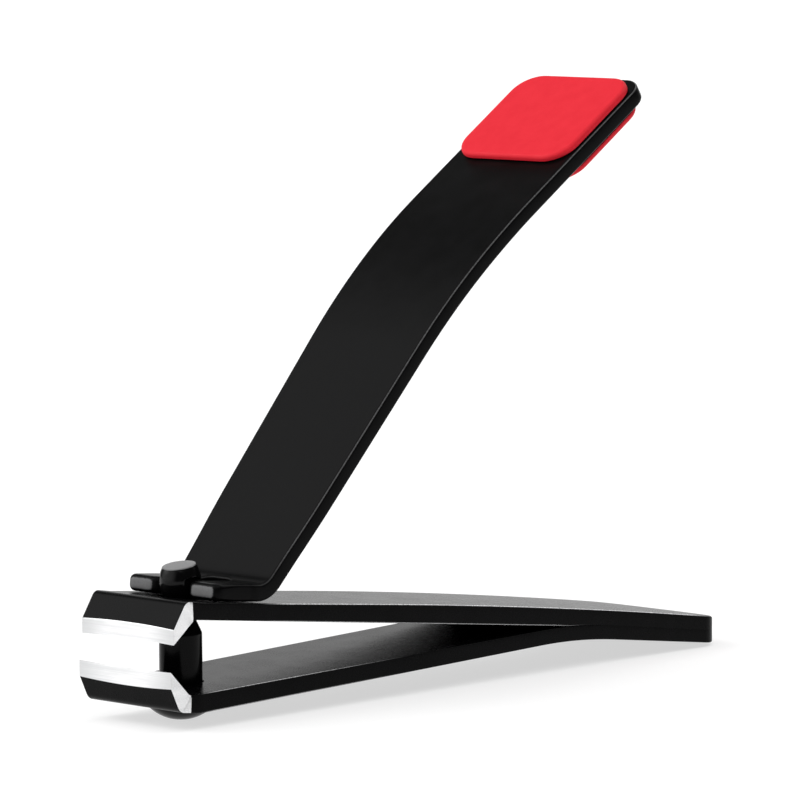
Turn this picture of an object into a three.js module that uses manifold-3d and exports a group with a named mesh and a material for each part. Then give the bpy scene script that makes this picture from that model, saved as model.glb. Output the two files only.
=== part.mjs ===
// Lever nail clipper, standing open on a table. Millimetres, +Z up.
// The origin is the foot of the pivot post, where its domed head rests on the table.
// +X runs to the tail, where the two leaves are joined, and Y runs along the cutting edges.

import * as THREE from 'three';
import * as BufferGeometryUtils from 'three/addons/utils/BufferGeometryUtils.js';
import Module from 'manifold-3d';

const wasm = await Module();
wasm.setup();

const DEGREE = Math.PI / 180;

// Leaves, as seen from the side
const LEAF_GAP = 0.08;             // the joined tails, face to face
const TAIL_X = 79;
const TAIL_ROUNDING = 3;           // corners of the tail, seen from above
const TAIL_CROWN = 0.8;            // how far the tail's middle stands out
const PROFILE_STEP = 1.5;          // spacing of the points on a curved face

const LOWER_BEND_START = 48;
const LOWER_BEND_END = 60;
const LOWER_TOP = { atPost: 3.85, rise: 0.0202, fall: 0.1401 };
const LOWER_BOTTOM = { atPost: 1.78, rise: 0.028, fall: 0.1318 };

const UPPER_TOP_AT_POST = 12.9;
const UPPER_FALL = 0.1067;
const UPPER_CURVE_START = 22;
const UPPER_CURVE = 0.00044;       // the back of the upper leaf is a long shallow arch
const UPPER_UNDER_AT_POST = 11.05;
const UPPER_UNDER_FALL = 0.1178;
const JOINED_FROM = 56;            // from here to the tail the leaves lie together

// Leaves, as seen from above
const JAW_HALF_WIDTH = 7;
const TAIL_HALF_WIDTH = 9.15;
const GROUND_DEPTH = 0.1;          // flats ground on both ends of each lip
const EDGE_HOLLOW = 0.12;          // the front of each lip is ground slightly hollow
const EDGE_STEPS = 8;

// Lips and cutting edges
const UPPER_EDGE = { x: -7.75, low: 9.26, high: 10.83, groundEnd: -4.97 };
const UPPER_LIP_BEND = { x: -5.9, z: 13.66, rounding: 0.9, end: -4.2 };
const UPPER_LIP_ROOT = { x: -4.74, rounding: 0.6 };
const LOWER_EDGE = { x: -8.2, low: 4.75, high: 6.45, groundEnd: -5.35 };
const LOWER_LIP_BEND = { x: -6.95, z: 2.12, rounding: 1.2, end: -4.2 };
const LOWER_LIP_ROOT = { x: -5.5, rounding: 0.8 };

// Pivot post, a single turned piece with two flats milled on its head for the fork
const POST_RADIUS = 2.3;
const NECK_RADIUS = 1.6;
const POST_SHOULDER = { low: 9.1, high: 10.6 };
const POST_HEAD = { low: 12.85, foot: 1.68, wide: 14.55, radius: 2.25, top: 16.35, flat: 1.78 };
const HEAD_STEPS = 10;
const HEAD_TILT = 9 * DEGREE;      // the head's end face is cut on a slant
const FORK_FLAT = { halfWidth: 1.9, low: 12.75, high: 15.17 };
const DOME_RADIUS = 3.75;
const DOME_BALL_RADIUS = 4.9;
const DOME_FLAT_RADIUS = 1.2;
const DOME_TOP = 1.62;
const POST_SEGMENTS = 48;
const LOWER_HOLE_RADIUS = 2.45;
const UPPER_HOLE = { x: 0.12, radius: 2.58 };

// Lever, bent from one strip
const LEVER_THICKNESS = 1.84;
const LEVER_LIFT = 0.1;            // running clearance over the upper leaf
const PRONG_TIP_X = -1.45;
const HEEL_X = 6.83;               // where the fork's underside and the arm's back would meet
const HEEL_RADIUS = 4;
const LOWER_ARM = { angle: 47.1 * DEGREE, length: 44.6 };
const UPPER_ARM = { angle: 33.1 * DEGREE, length: 34.55 };
const ARM_BEND_RADIUS = 92;
const ARM_WIDTHS = [               // height, half width
  [11, 6.75],
  [15, 6.95],
  [20, 7.42],
  [30, 7.84],
  [40, 8.25],
  [48, 8.56],
  [70, 8.62],
];
const ARM_WIDTH_STEPS = 30;
const PRONG_HALF_WIDTH = 6.75;
const PRONG_ROUNDING = 0.9;
const SLOT_HALF_WIDTH = 2;
const SLOT_END_X = 6.2;
const SLOT_END_ROUNDING = 1.1;
const SLOT_MOUTH_ROUNDING = 1.4;
const LEVER_TIP_ROUNDING = 2.6;
const LEVER_TIP_HALF_WIDTH = 8.6;

// Thumb pads and the adhesive under them
const PAD_LENGTH = 15.35;
const PAD_HALF_WIDTH = 8.3;
const PAD_THICKNESS = 0.7;
const PAD_ROUNDING = 3.2;
const PAD_SETBACK = 0.85;          // from the end of the lever
const GLUE_THICKNESS = 0.12;
const GLUE_INSET = 0.6;
const GLUE_GAP = 0.04;

const material = (color, roughness, metalness) =>
  new THREE.MeshStandardMaterial({ color, roughness, metalness });

// A closed outline whose corners [x, y, radius] are rounded by tangent arcs.
function roundedOutline(corners, arcStep = 15 * DEGREE) {
  const points = [];
  corners.forEach(([x, y, radius = 0], index) => {
    const corner = new THREE.Vector2(x, y);
    const before = corners[(index + corners.length - 1) % corners.length];
    const after = corners[(index + 1) % corners.length];
    const inward = new THREE.Vector2(before[0], before[1]).sub(corner).normalize();
    const outward = new THREE.Vector2(after[0], after[1]).sub(corner).normalize();
    const turn = Math.PI - Math.acos(THREE.MathUtils.clamp(inward.dot(outward), -1, 1));
    if (radius === 0 || turn < 1e-4) {
      points.push(corner);
      return;
    }
    const tangent = radius * Math.tan(turn / 2);
    const start = corner.clone().addScaledVector(inward, tangent);
    const middle = inward.clone().add(outward).normalize();
    const centre = corner.clone().addScaledVector(middle, radius / Math.cos(turn / 2));
    const side = Math.sign(inward.cross(outward));
    const steps = Math.max(2, Math.ceil(turn / arcStep));
    for (let i = 0; i <= steps; i += 1) {
      points.push(start.clone().rotateAround(centre, (-side * turn * i) / steps));
    }
  });
  return points;
}

const spread = (from, to, step) => {
  const count = Math.max(1, Math.ceil(Math.abs(to - from) / step));
  return Array.from({ length: count + 1 }, (_, i) => from + ((to - from) * i) / count);
};

function toSolid(geometry) {
  geometry.deleteAttribute('normal');
  geometry.deleteAttribute('uv');
  const merged = BufferGeometryUtils.mergeVertices(geometry, 1e-5);
  return new wasm.Manifold(new wasm.Mesh({
    numProp: 3,
    vertProperties: merged.attributes.position.array,
    triVerts: new Uint32Array(merged.index.array),
  }));
}

function toMesh(name, solid, finish) {
  const { vertProperties, triVerts } = solid.getMesh();
  const geometry = new THREE.BufferGeometry();
  geometry.setAttribute('position', new THREE.BufferAttribute(vertProperties, 3));
  geometry.setIndex(new THREE.BufferAttribute(triVerts, 1));
  geometry.computeVertexNormals();
  const mesh = new THREE.Mesh(geometry, finish);
  mesh.name = name;
  return mesh;
}

const extrude = (outline, depth) =>
  new THREE.ExtrudeGeometry(new THREE.Shape(outline), { depth, bevelEnabled: false });

// An outline drawn in X and Z, as wide as given in Y.
const prismAcrossY = (outline, width) =>
  toSolid(extrude(outline, width).rotateX(Math.PI / 2).translate(0, width / 2, 0));

// An outline drawn in X and Y, standing between two heights.
const prismAlongZ = (outline, low, high) =>
  toSolid(extrude(outline, high - low).translate(0, 0, low));

// An outline drawn in Y and Z, running between two places on X.
const prismAlongX = (outline, from, to) =>
  toSolid(extrude(outline, to - from).rotateX(Math.PI / 2).rotateZ(Math.PI / 2)
    .translate(from, 0, 0));

const revolve = (profile) =>
  new THREE.LatheGeometry(profile.map(([r, z]) => new THREE.Vector2(r, z)), POST_SEGMENTS)
    .rotateX(Math.PI / 2);

const bore = (x, radius) => toSolid(
  new THREE.CylinderGeometry(radius, radius, 40, POST_SEGMENTS)
    .rotateX(Math.PI / 2).translate(x, 0, 0),
);

// Height of a face that rises, turns over along a parabola and falls.
function bentFace(x, { atPost, rise, fall }) {
  const bent = THREE.MathUtils.clamp(x, LOWER_BEND_START, LOWER_BEND_END) - LOWER_BEND_START;
  const curvature = (rise + fall) / (LOWER_BEND_END - LOWER_BEND_START);
  const beyond = Math.max(0, x - LOWER_BEND_END);
  return atPost + rise * x - curvature * bent * (bent / 2 + beyond);
}

const lowerTop = (x) => bentFace(x, LOWER_TOP);
const lowerBottom = (x) => bentFace(x, LOWER_BOTTOM);
const upperTop = (x) =>
  UPPER_TOP_AT_POST - UPPER_FALL * x - UPPER_CURVE * Math.max(0, x - UPPER_CURVE_START) ** 2;
const upperUnder = (x) => {
  const free = UPPER_UNDER_AT_POST - UPPER_UNDER_FALL * x;
  const joined = lowerTop(x) + LEAF_GAP;
  return x > JOINED_FROM ? joined : Math.max(free, joined);
};

const face = (height, from, to) => spread(from, to, PROFILE_STEP).map((x) => [x, height(x)]);

// Both leaves have one outline from above: hollow-ground front, flats beside the lip, and a
// crowned tail.
function leafOutline(edge) {
  const flat = JAW_HALF_WIDTH - GROUND_DEPTH;
  const front = spread(flat, -flat, (2 * flat) / EDGE_STEPS)
    .map((y) => [edge.x + EDGE_HOLLOW * (1 - (y / flat) ** 2), y]);
  return roundedOutline([
    ...front,
    [edge.groundEnd, -flat],
    [edge.groundEnd, -JAW_HALF_WIDTH],
    [TAIL_X - TAIL_CROWN, -TAIL_HALF_WIDTH, TAIL_ROUNDING],
    [TAIL_X, 0, 12],
    [TAIL_X - TAIL_CROWN, TAIL_HALF_WIDTH, TAIL_ROUNDING],
    [edge.groundEnd, JAW_HALF_WIDTH],
    [edge.groundEnd, flat],
  ]);
}

function leaf(name, sideOutline, edge, hole, finish) {
  const solid = prismAcrossY(roundedOutline(sideOutline), 30)
    .intersect(prismAlongZ(leafOutline(edge), -5, 30))
    .subtract(bore(hole.x, hole.radius));
  return toMesh(name, solid, finish);
}

function lowerJaw(finish) {
  const outline = [
    [LOWER_EDGE.x, LOWER_EDGE.high],
    [LOWER_EDGE.x, LOWER_EDGE.low],
    [LOWER_LIP_BEND.x, LOWER_LIP_BEND.z, LOWER_LIP_BEND.rounding],
    [LOWER_LIP_BEND.end, lowerBottom(LOWER_LIP_BEND.end)],
    ...face(lowerBottom, LOWER_BEND_START, TAIL_X),
    ...face(lowerTop, TAIL_X, LOWER_BEND_START),
    [LOWER_LIP_ROOT.x, lowerTop(LOWER_LIP_ROOT.x), LOWER_LIP_ROOT.rounding],
  ];
  return leaf('lower_jaw', outline, LOWER_EDGE, { x: 0, radius: LOWER_HOLE_RADIUS }, finish);
}

function upperJaw(finish) {
  const outline = [
    [UPPER_EDGE.x, UPPER_EDGE.high],
    [UPPER_EDGE.x, UPPER_EDGE.low],
    [UPPER_LIP_ROOT.x, upperUnder(UPPER_LIP_ROOT.x), UPPER_LIP_ROOT.rounding],
    ...face(upperUnder, LOWER_BEND_START, TAIL_X),
    ...face(upperTop, TAIL_X, UPPER_CURVE_START),
    [UPPER_LIP_BEND.end, upperTop(UPPER_LIP_BEND.end)],
    [UPPER_LIP_BEND.x, UPPER_LIP_BEND.z, UPPER_LIP_BEND.rounding],
  ];
  return leaf('upper_jaw', outline, UPPER_EDGE, UPPER_HOLE, finish);
}

function pivotPost(finish) {
  const dome = spread(DOME_FLAT_RADIUS, DOME_RADIUS, 0.3).map((r) => {
    const drop = Math.sqrt(DOME_BALL_RADIUS ** 2 - r ** 2);
    return [r, Math.sqrt(DOME_BALL_RADIUS ** 2 - DOME_FLAT_RADIUS ** 2) - drop];
  });
  // The head swells like a barrel: one parabola below its widest place and one above.
  const swell = (z) => {
    const below = z < POST_HEAD.wide;
    const end = below ? POST_HEAD.low : POST_HEAD.top;
    const endRadius = below ? POST_HEAD.foot : POST_HEAD.flat;
    return POST_HEAD.radius
      - (POST_HEAD.radius - endRadius) * ((z - POST_HEAD.wide) / (end - POST_HEAD.wide)) ** 2;
  };
  const over = POST_HEAD.top + Math.tan(HEAD_TILT) * POST_HEAD.radius;
  const barrel = spread(POST_HEAD.low, over, (over - POST_HEAD.low) / HEAD_STEPS)
    .map((z) => [swell(z), z]);
  const turned = toSolid(revolve([
    [0, 0],
    ...dome,
    [DOME_RADIUS, DOME_TOP],
    [POST_RADIUS, DOME_TOP],
    [POST_RADIUS, POST_SHOULDER.low],
    [NECK_RADIUS, POST_SHOULDER.high],
    [NECK_RADIUS, POST_HEAD.low - 0.1],
    ...barrel,
    [0, over],
  ]));
  const flatsHeight = FORK_FLAT.high - FORK_FLAT.low;
  const flats = [1, -1].map((side) => toSolid(
    new THREE.BoxGeometry(8, 2, flatsHeight)
      .translate(0, side * (FORK_FLAT.halfWidth + 1), FORK_FLAT.low + flatsHeight / 2),
  ));
  const slant = [-Math.sin(HEAD_TILT), 0, Math.cos(HEAD_TILT)];
  const solid = turned.subtract(flats[0]).subtract(flats[1])
    .trimByPlane(slant.map((part) => -part), -POST_HEAD.top * Math.cos(HEAD_TILT));
  return toMesh('pivot_post', solid, finish);
}

// The strip's underside: prong tip, heel, bend in the arm and the far end.
function leverPath() {
  const under = (x) => UPPER_TOP_AT_POST + LEVER_LIFT - UPPER_FALL * x;
  const heel = new THREE.Vector2(HEEL_X, under(HEEL_X));
  const along = ({ angle, length }) =>
    new THREE.Vector2(Math.cos(angle), Math.sin(angle)).multiplyScalar(length);
  const bend = heel.clone().add(along(LOWER_ARM));
  const end = bend.clone().add(along(UPPER_ARM));
  return [new THREE.Vector2(PRONG_TIP_X, under(PRONG_TIP_X)), heel, bend, end];
}

// The same path moved to its left by a distance, with mitred corners.
function offsetPath(path, distance) {
  const normals = path.slice(1).map((point, i) => {
    const direction = point.clone().sub(path[i]).normalize();
    return new THREE.Vector2(-direction.y, direction.x);
  });
  return path.map((point, i) => {
    const a = normals[Math.max(0, i - 1)];
    const b = normals[Math.min(normals.length - 1, i)];
    const mitre = a.clone().add(b).normalize();
    return point.clone().addScaledVector(mitre, distance / mitre.dot(a));
  });
}

function leverFront() {
  const edge = new THREE.SplineCurve(ARM_WIDTHS.map(([z, half]) => new THREE.Vector2(half, z)))
    .getSpacedPoints(ARM_WIDTH_STEPS);
  const mirrored = edge.map(({ x, y }) => new THREE.Vector2(-x, y)).reverse();
  return [...edge, ...mirrored];
}

function leverEndTrim(end) {
  const outline = roundedOutline([
    [-150, -30],
    [-40, -30],
    [-40, -LEVER_TIP_HALF_WIDTH - 1],
    [0, -LEVER_TIP_HALF_WIDTH, LEVER_TIP_ROUNDING],
    [0, LEVER_TIP_HALF_WIDTH, LEVER_TIP_ROUNDING],
    [-40, LEVER_TIP_HALF_WIDTH + 1],
    [-40, 30],
    [-150, 30],
  ]);
  return toSolid(extrude(outline, 200).translate(0, 0, -100)
    .rotateY(-UPPER_ARM.angle).translate(end.x, 0, end.y));
}

function lever(finish) {
  const back = leverPath();
  const front = offsetPath(back, LEVER_THICKNESS);
  const side = roundedOutline([
    [back[0].x, back[0].y, 0.3],
    [back[1].x, back[1].y, HEEL_RADIUS],
    [back[2].x, back[2].y, ARM_BEND_RADIUS],
    [back[3].x, back[3].y, 0.3],
    [front[3].x, front[3].y, 0.3],
    [front[2].x, front[2].y, ARM_BEND_RADIUS + LEVER_THICKNESS],
    [front[1].x, front[1].y, HEEL_RADIUS - LEVER_THICKNESS],
    [front[0].x, front[0].y, 0.3],
  ], 6 * DEGREE);
  const plan = roundedOutline([
    [PRONG_TIP_X, -PRONG_HALF_WIDTH, PRONG_ROUNDING],
    [4, -PRONG_HALF_WIDTH],
    [4, -20],
    [90, -20],
    [90, 20],
    [4, 20],
    [4, PRONG_HALF_WIDTH],
    [PRONG_TIP_X, PRONG_HALF_WIDTH, PRONG_ROUNDING],
  ]);
  const mouthX = PRONG_TIP_X;
  const slot = roundedOutline([
    [mouthX - 9, -9],
    [mouthX, -9],
    [mouthX, -SLOT_HALF_WIDTH, SLOT_MOUTH_ROUNDING],
    [SLOT_END_X, -SLOT_HALF_WIDTH, SLOT_END_ROUNDING],
    [SLOT_END_X, SLOT_HALF_WIDTH, SLOT_END_ROUNDING],
    [mouthX, SLOT_HALF_WIDTH, SLOT_MOUTH_ROUNDING],
    [mouthX, 9],
    [mouthX - 9, 9],
  ]);
  const solid = prismAcrossY(side, 40)
    .intersect(prismAlongX(leverFront(), -20, 90))
    .intersect(prismAlongZ(plan, 0, 90))
    .intersect(leverEndTrim(back[3]))
    .subtract(prismAlongZ(slot, 0, 20));
  return toMesh('lever', solid, finish);
}

// A rounded plate lying on the far end of the arm, from `low` to `high` above its face.
function plate(name, inset, low, high, finish) {
  const near = -PAD_SETBACK - inset;
  const far = -PAD_SETBACK - PAD_LENGTH + inset;
  const half = PAD_HALF_WIDTH - inset;
  const rounding = PAD_ROUNDING - inset;
  const outline = roundedOutline([
    [far, -half, rounding],
    [near, -half, rounding],
    [near, half, rounding],
    [far, half, rounding],
  ]);
  return toMesh(name, prismAlongZ(outline, low, high), finish);
}

// The two pads and their adhesive share the turned frame of the arm's far end.
function pads(rubber, glue) {
  const glueTop = GLUE_GAP + GLUE_THICKNESS;
  const padLow = glueTop + GLUE_GAP;
  const back = leverPath();
  const front = offsetPath(back, LEVER_THICKNESS);
  const top = new THREE.Group();
  top.position.set(front[3].x, 0, front[3].y);
  top.rotation.y = -UPPER_ARM.angle;
  top.add(plate('adhesive_top', GLUE_INSET, GLUE_GAP, glueTop, glue()));
  top.add(plate('pad_top', 0, padLow, padLow + PAD_THICKNESS, rubber()));
  const under = new THREE.Group();
  under.position.set(back[3].x, 0, back[3].y);
  under.rotation.y = -UPPER_ARM.angle;
  under.add(plate('adhesive_under', GLUE_INSET, -glueTop, -GLUE_GAP, glue()));
  under.add(plate('pad_under', 0, -padLow - PAD_THICKNESS, -padLow, rubber()));
  return [top, under];
}

const blackSteel = () => material('#0c0c0d', 0.34, 0.6);
const redRubber = () => material('#ee3844', 0.62, 0);
const clearGlue = () => material('#d9d6cc', 0.5, 0);

const clipper = new THREE.Group();
clipper.name = 'nail_clipper';
clipper.add(
  lowerJaw(blackSteel()),
  upperJaw(blackSteel()),
  pivotPost(blackSteel()),
  lever(blackSteel()),
  ...pads(redRubber, clearGlue),
);

export default clipper;
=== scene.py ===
"""Looks of the lever nail clipper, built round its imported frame.

Lengths are in millimetres until a mesh is made. Each strip of steel is a flat plate with rounded
edges, made as a grid of quads and then carried along the strip's bent path.
"""

import math

import bmesh
import bpy
import numpy as np
from mathutils import Matrix, Vector
from mathutils.kdtree import KDTree


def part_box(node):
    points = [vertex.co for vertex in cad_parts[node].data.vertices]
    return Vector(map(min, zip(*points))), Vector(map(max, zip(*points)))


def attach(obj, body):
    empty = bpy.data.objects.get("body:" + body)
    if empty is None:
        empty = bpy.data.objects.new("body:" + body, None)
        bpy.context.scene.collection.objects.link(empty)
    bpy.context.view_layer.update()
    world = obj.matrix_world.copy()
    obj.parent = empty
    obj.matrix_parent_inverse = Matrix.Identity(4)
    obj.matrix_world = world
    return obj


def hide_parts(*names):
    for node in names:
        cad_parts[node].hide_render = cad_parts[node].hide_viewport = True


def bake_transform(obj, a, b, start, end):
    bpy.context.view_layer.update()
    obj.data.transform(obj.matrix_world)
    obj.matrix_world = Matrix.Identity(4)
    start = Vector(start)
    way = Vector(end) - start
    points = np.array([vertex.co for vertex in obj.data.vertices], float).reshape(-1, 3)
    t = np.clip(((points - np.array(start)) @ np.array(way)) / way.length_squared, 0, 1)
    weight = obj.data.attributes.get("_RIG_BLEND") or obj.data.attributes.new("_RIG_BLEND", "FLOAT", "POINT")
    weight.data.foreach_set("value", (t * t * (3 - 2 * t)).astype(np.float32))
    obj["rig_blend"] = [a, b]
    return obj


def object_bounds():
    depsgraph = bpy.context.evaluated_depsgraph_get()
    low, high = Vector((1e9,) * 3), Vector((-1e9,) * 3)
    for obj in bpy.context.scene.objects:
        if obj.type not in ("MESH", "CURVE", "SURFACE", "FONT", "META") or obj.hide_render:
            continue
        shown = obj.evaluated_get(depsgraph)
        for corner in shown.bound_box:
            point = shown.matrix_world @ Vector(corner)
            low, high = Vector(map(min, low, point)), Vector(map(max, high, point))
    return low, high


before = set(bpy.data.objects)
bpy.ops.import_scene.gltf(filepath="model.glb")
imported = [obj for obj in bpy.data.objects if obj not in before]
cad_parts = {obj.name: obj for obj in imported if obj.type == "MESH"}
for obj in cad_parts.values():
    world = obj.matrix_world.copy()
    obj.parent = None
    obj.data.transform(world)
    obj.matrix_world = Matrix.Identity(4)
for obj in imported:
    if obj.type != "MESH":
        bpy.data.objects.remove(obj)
cad_low, cad_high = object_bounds()

MM = 0.001
TINY = 1e-6
SAME_PLACE = 3e-6                       # metres, between points that a cut left alone
scene = bpy.context.scene

# ---------------------------------------------------------------- sizes, as in the frame

# the leaves' faces, as seen from the side
LEAF_THICKNESS = 1.85
LOWER_BEND_START, LOWER_BEND_END = 48.0, 60.0
LOWER_TOP = (3.85, 0.0202, 0.1401)      # height at the post, rise before the bend, fall after it
LOWER_BOTTOM = (1.78, 0.028, 0.1318)
UPPER_TOP_AT_POST, UPPER_FALL = 12.9, 0.1067
UPPER_CURVE_START, UPPER_CURVE = 22.0, 0.00044
UPPER_UNDER_AT_POST, UPPER_UNDER_FALL = 11.05, 0.1178
JOINED_FROM = 56.0                      # from here to the tail the leaves lie together
LEAF_GAP, TAIL_SEAM = 0.08, 0.002       # between the leaves, and what shows of it once welded
SEAM_START, SEAM_LENGTH = 54, 4

# the leaves, as seen from above
JAW_HALF_WIDTH, TAIL_HALF_WIDTH = 7.0, 9.15
TAIL_X, TAIL_ROUNDING, TAIL_CROWN, CROWN_START = 79.0, 3.0, 0.8, 60
GROUND_DEPTH, GROUND_RUNOUT = 0.1, 0.12  # flats ground on both ends of each lip
GROUND_HALF_WIDTH = JAW_HALF_WIDTH - GROUND_DEPTH
EDGE_HOLLOW = 0.12                      # the front of each lip is ground slightly hollow
UPPER_HOLE, LOWER_HOLE = (0.12, 2.58), (0.0, 2.45)      # x and radius

# the lips. A bend is the corner's x and z and its radius, and a root is the corner's x and radius.
UPPER_EDGE_X, LOWER_EDGE_X = (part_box(jaw)[0].x / MM for jaw in ("upper_jaw", "lower_jaw"))
UPPER_EDGE_LOW, UPPER_EDGE_HIGH, UPPER_GROUND_END = 9.26, 10.83, -4.97
LOWER_EDGE_LOW, LOWER_EDGE_HIGH, LOWER_GROUND_END = 4.75, 6.45, -5.35
UPPER_BEND, UPPER_ROOT = (-5.9, 13.66, 0.9), (-4.74, 0.6)
LOWER_BEND, LOWER_ROOT = (-6.95, 2.12, 1.2), (-5.5, 0.8)
BEND_END_X = -4.2

# the pivot post
POST_RADIUS, NECK_RADIUS = 2.3, 1.6
DOME_RADIUS, DOME_BALL_RADIUS, DOME_FLAT_RADIUS, DOME_TOP = 3.75, 4.9, 1.2, 1.62
SHOULDER_LOW, SHOULDER_HIGH = 9.1, 10.6
HEAD_LOW, HEAD_WIDE, HEAD_TOP = 12.85, 14.55, 16.35
HEAD_FOOT_RADIUS, HEAD_RADIUS, HEAD_END_RADIUS = 1.68, 2.25, 1.78
HEAD_TILT = math.radians(9)
FORK_FLAT_LOW, FORK_FLAT_HIGH, FORK_FLAT_HALF_WIDTH = 12.76, 15.3, 1.9
RUNOUT_LOW, RUNOUT_HEIGHT, RUNOUT_DEPTH = 14.85, 0.4, 0.33   # where the cutter left the flats

# the lever. An arm is its angle and length.
LEVER_THICKNESS, LEVER_LIFT = 1.84, 0.1
PRONG_TIP_X, HEEL_X, HEEL_RADIUS = -1.45, 6.83, 4.0
LOWER_ARM = (math.radians(47.1), 44.6)
UPPER_ARM = (math.radians(33.1), 34.55)
ARM_BEND_RADIUS = 92.0
ARM_WIDTHS = [(11, 6.75), (15, 6.95), (20, 7.42), (30, 7.84), (40, 8.25), (48, 8.56), (70, 8.62)]
PRONG_HALF_WIDTH, PRONG_ROUNDING, PRONG_END_X = 6.75, 0.9, 4
SLOT_HALF_WIDTH, SLOT_END_X, SLOT_END_ROUNDING, SLOT_MOUTH_ROUNDING = 2.0, 6.2, 1.1, 1.4
LEVER_TIP_ROUNDING = 2.6

# the thumb pads and the adhesive under them
PAD_LENGTH, PAD_HALF_WIDTH, PAD_THICKNESS, PAD_ROUNDING = 15.35, 8.3, 0.7, 3.2
PAD_SETBACK, GLUE_THICKNESS, GLUE_INSET, GLUE_GAP = 0.85, 0.12, 0.6, 0.04

# ---------------------------------------------------------------- sizes that only the eye sees

EDGE_ROUNDING, TAIL_EDGE_ROUNDING = 0.17, 0.45
INNER_ROUNDING = 0.12                   # the leaves' edges on the sides that face each other
SEAM_ROUNDING = 0.01                    # the same edges where the tails are pressed together
# roundings at which an inner edge shows none or all of its crest line, which is partly rubbed-through
# coating and partly painted highlight
NO_WEAR_HIGHLIGHT_ROUNDING, FULL_WEAR_HIGHLIGHT_ROUNDING = 0.03, 0.11       # inner edges that show none or all of it
LEVER_ROUNDING, PRONG_EDGE_ROUNDING = 0.32, 0.62
HEAD_ROUNDING = 0.14
PAD_TOP_ROUNDING, PAD_FOOT_ROUNDING, PAD_CROWN, FILM_ROUNDING = 0.46, 0.06, 0.03, 0.04
# x, or distance from the prongs' tips, where one rounding passes into the other
TAIL_EDGE_SPAN, SEAM_EDGE_SPAN, PRONG_EDGE_SPAN = (76, 78.2), (50, 60), (0.5, 3.0)
ROUNDING_REACH = 2.2                    # how far in from an edge its rounding moves the quads
NEAR_RIM = 0.08                         # closer than this, a point moves as the edge does


def bent_face(x, at_post, rise, fall):
    bent = np.clip(x, LOWER_BEND_START, LOWER_BEND_END) - LOWER_BEND_START
    curvature = (rise + fall) / (LOWER_BEND_END - LOWER_BEND_START)
    return at_post + rise * x - curvature * bent * (bent / 2 + np.maximum(0, x - LOWER_BEND_END))


def lower_top(x):
    return bent_face(x, *LOWER_TOP)


def lower_bottom(x):
    return bent_face(x, *LOWER_BOTTOM)


def upper_top(x):
    sag = UPPER_CURVE * np.maximum(0, x - UPPER_CURVE_START) ** 2
    return UPPER_TOP_AT_POST - UPPER_FALL * x - sag


def upper_under(x):
    closed = np.clip((x - SEAM_START) / SEAM_LENGTH, 0, 1)
    joined = lower_top(x) + LEAF_GAP - (LEAF_GAP - TAIL_SEAM) * closed
    apart = UPPER_UNDER_AT_POST - UPPER_UNDER_FALL * x
    return np.where(np.asarray(x) > JOINED_FROM, joined, np.maximum(apart, joined))


# ---------------------------------------------------------------- plans and outlines

def quarter(count):
    """Numbers from 0 to 1 that draw together towards 1, as a quarter circle's heights do."""
    return np.sin(np.linspace(0, math.pi / 2, count))


def arc_at(before, corner, after, radius, steps):
    """Points of the tangent arc that rounds a corner, from its start to its end."""
    before, corner, after = (np.array(p, float) for p in (before, corner, after))
    a, b = before - corner, after - corner
    a, b = a / np.linalg.norm(a), b / np.linalg.norm(b)
    turn = math.pi - math.acos(float(np.clip(a @ b, -1, 1)))
    start = corner + a * radius * math.tan(turn / 2)
    middle = (a + b) / np.linalg.norm(a + b)
    centre = corner + middle * radius / math.cos(turn / 2)
    arm = start - centre
    sign = 1 if a[0] * b[1] - a[1] * b[0] < 0 else -1
    points = []
    for i in range(steps + 1):
        t = sign * turn * i / steps
        c, s = math.cos(t), math.sin(t)
        points.append(centre + np.array([arm[0] * c - arm[1] * s, arm[0] * s + arm[1] * c]))
    return points


def between(p, q, count):
    """Points from p to q, both left out."""
    p, q = np.array(p, float), np.array(q, float)
    return [p + (q - p) * i / (count + 1) for i in range(1, count + 1)]


def round_corner(p, centre, radius, toward):
    """Carries the square at a plan corner onto a quarter disc about `centre`."""
    a = (p[0] - centre[0]) * toward[0] / radius
    b = (p[1] - centre[1]) * toward[1] / radius
    if a <= 0 or b <= 0:
        return p
    a, b = min(a, 1.0), min(b, 1.0)
    return (centre[0] + toward[0] * radius * a * math.sqrt(1 - b * b / 2),
            centre[1] + toward[1] * radius * b * math.sqrt(1 - a * a / 2))


def mirrored(positive):
    """The same numbers on both sides of zero, which is the first of them."""
    return np.concatenate([-positive[::-1], positive[1:]])


def grid_quads(rows, columns):
    return [[r * columns + c, (r + 1) * columns + c, (r + 1) * columns + c + 1, r * columns + c + 1]
            for r in range(rows - 1) for c in range(columns - 1)]


def boundary(quads):
    """Boundary edges of a set of quads, each in the sense in which its quad runs."""
    seen = {}
    for quad in quads:
        for a, b in zip(quad, quad[1:] + quad[:1]):
            seen[(a, b)] = True
    return [(a, b) for (a, b) in seen if (b, a) not in seen]


def nearest_on(points, a, b):
    """For each point the nearest place on the segments a-b, and its distance."""
    best = np.full(len(points), 1e9)
    place = np.zeros_like(points)
    for p, q in zip(a, b):
        d = q - p
        t = np.clip(((points - p) @ d) / (d @ d), 0, 1)
        foot = p + t[:, None] * d
        gap = np.linalg.norm(points - foot, axis=1)
        closer = gap < best
        best[closer], place[closer] = gap[closer], foot[closer]
    return place, best


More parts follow.
